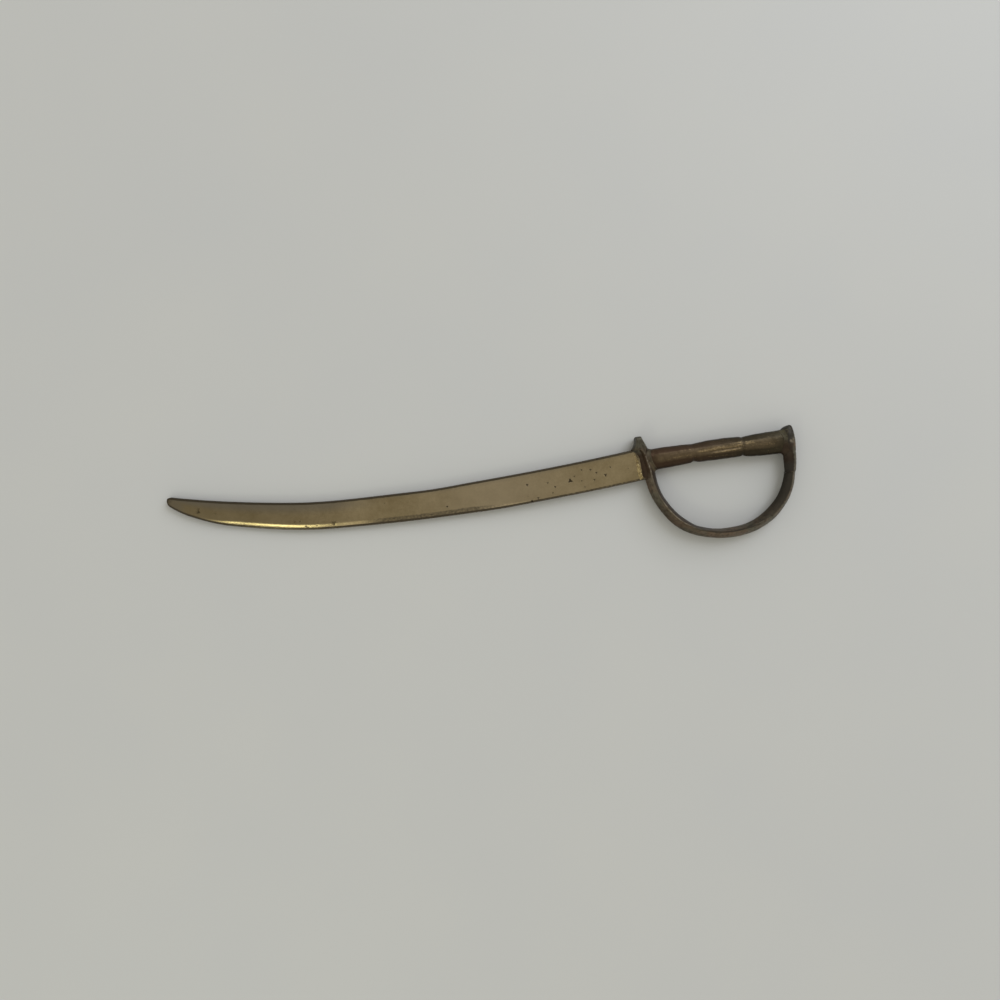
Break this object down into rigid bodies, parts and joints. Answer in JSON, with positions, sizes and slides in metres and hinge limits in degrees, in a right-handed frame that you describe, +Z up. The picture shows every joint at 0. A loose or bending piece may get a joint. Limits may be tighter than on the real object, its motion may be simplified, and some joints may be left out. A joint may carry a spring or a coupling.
{
  "type": "letter opener",
  "caption": "Curved brass letter opener shaped like a small sabre, with a flat bevelled blade, a segmented grip, a beaked pommel and a D-shaped knuckle bow round a finger loop.",
  "frame": {"origin": "on the flat of the guard's lower ridge, under the grip's axis, in the plane the hilt lies on", "axes": "+X from the blade's point to the pommel along the grip, +Y toward the blade's spine, +Z up from the table"},
  "size_m": [0.21, 0.0391, 0.0056],
  "materials": {
    "blade_brass": "worn satin",
    "hilt_brass": "dark patina on cast brass",
    "braze": "bright filler metal"
  },
  "bodies": {
    "root": {"blade": "blade_brass", "knuckle_guard": "hilt_brass", "grip": "hilt_brass", "pommel": "hilt_brass", "blade_braze": "braze", "grip_front_braze": "hilt_brass", "grip_rear_braze": "hilt_brass", "bow_braze": "braze"}
  },
  "joints": []
}
